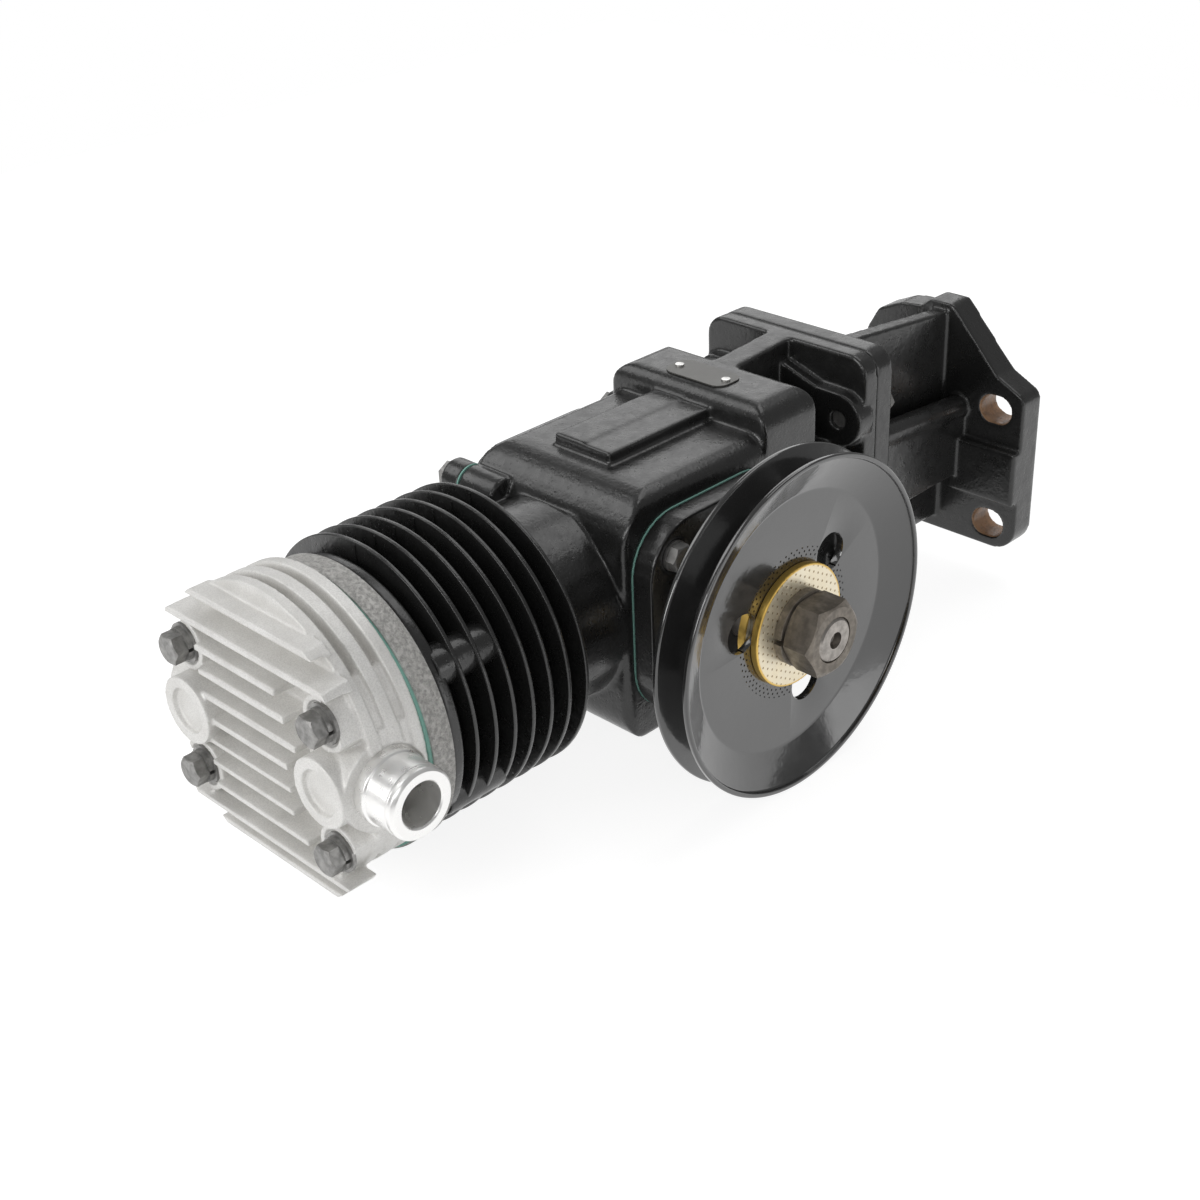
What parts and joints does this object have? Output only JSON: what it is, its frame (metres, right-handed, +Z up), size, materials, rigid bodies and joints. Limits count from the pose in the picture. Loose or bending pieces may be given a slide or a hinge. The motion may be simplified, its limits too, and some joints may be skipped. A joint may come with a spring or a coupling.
{
  "type": "piston air compressor",
  "caption": "Belt-driven air compressor with one finned cylinder, pulley and slotted engine bracket; crank, rod and piston move together.",
  "frame": {"origin": "middle of the four slots on the bracket's mounting face", "axes": "+Y out of the mounting face, away from the compressor; +X along the crank towards the pulley; +Z up"},
  "size_m": [0.2162, 0.5105, 0.18],
  "materials": {
    "black_enamel": "semi-gloss black enamel over a sand casting",
    "bare_aluminium": "blasted bare casting with machined faces",
    "gasket_paper": "matt teal gasket paper",
    "rough_iron": "rough dark cast rim",
    "spring_steel": "satin spring steel",
    "black_steel": "phosphated dark steel",
    "seal_rubber": "matt",
    "bearing_steel": "ground and polished",
    "plate_black": "dark satin",
    "bright_rivet": "bright",
    "ground_steel": "machined steel",
    "gloss_black": "gloss black coat on pressed steel",
    "yellow_zinc": "yellow zinc plating with an embossed dot grid",
    "bearing_metal": "satin",
    "piston_alloy": "turned",
    "ring_iron": "ground"
  },
  "bodies": {
    "compressor": {"crankcase": "black_enamel", "cylinder_head": "bare_aluminium", "head_gasket": "gasket_paper", "valve_plate": "rough_iron", "valve_plate_gasket": "gasket_paper", "inlet_reed": "spring_steel", "outlet_reed": "spring_steel", "outlet_reed_stop": "spring_steel", "head_bolts": "black_steel", "head_spring_washers": "black_steel", "head_flat_washers": "black_steel", "front_cover": "black_enamel", "front_cover_gasket": "gasket_paper", "front_cover_bolts": "black_steel", "front_cover_washers": "black_steel", "shaft_seal": "seal_rubber", "rear_cover": "black_enamel", "rear_cover_gasket": "gasket_paper", "rear_cover_bolts": "black_steel", "rear_cover_washers": "black_steel", "bearing_outer_rings": "bearing_steel", "nameplate": "plate_black", "nameplate_rivets": "bright_rivet", "bracket": "black_enamel", "bracket_bolts": "black_steel", "bracket_washers": "black_steel"},
    "crank": {"crankshaft": "ground_steel", "pulley_key": "ground_steel", "pulley": "gloss_black", "inner_clamp_washer": "yellow_zinc", "outer_clamp_washer": "yellow_zinc", "crank_spring_washer": "black_steel", "crank_nut": "black_steel", "bearing_inner_rings": "bearing_steel"},
    "bearing_balls": {"bearing_balls": "bearing_steel"},
    "oilway_plug": {"oilway_plug": "ground_steel"},
    "rod": {"connecting_rod": "ground_steel", "rod_cap": "ground_steel", "rod_bolts": "black_steel", "big_end_shells": "bearing_metal", "small_end_bush": "bearing_metal", "gudgeon_pin": "bearing_steel"},
    "piston": {"piston": "piston_alloy", "compression_rings": "ring_iron", "oil_ring": "ring_iron"}
  },
  "joints": [
    {"name": "crank_turn", "type": "hinge", "parent": "compressor", "child": "crank", "pos_m": [-0.0295, -0.258, 0.015], "axis": [1, 0, 0], "continuous": true},
    {"name": "balls_turn", "type": "hinge", "parent": "compressor", "child": "bearing_balls", "pos_m": [-0.0295, -0.258, 0.015], "axis": [1, 0, 0], "continuous": true},
    {"name": "plug_turn", "type": "hinge", "parent": "crank", "child": "oilway_plug", "pos_m": [-0.0295, -0.266, 0.015], "axis": [1, 0, 0], "continuous": true},
    {"name": "rod_turn", "type": "hinge", "parent": "crank", "child": "rod", "pos_m": [-0.0295, -0.274, 0.015], "axis": [1, 0, 0], "continuous": true},
    {"name": "piston_turn", "type": "hinge", "parent": "oilway_plug", "child": "piston", "pos_m": [-0.0295, -0.274, 0.015], "axis": [1, 0, 0], "continuous": true}
  ],
  "couplings": [
    {"joint": "balls_turn", "follows": "crank_turn", "ratio": 0.3972},
    {"joint": "plug_turn", "follows": "crank_turn", "ratio": -2},
    {"joint": "rod_turn", "follows": "crank_turn", "ratio": -1},
    {"joint": "piston_turn", "follows": "crank_turn", "ratio": 1}
  ]
}
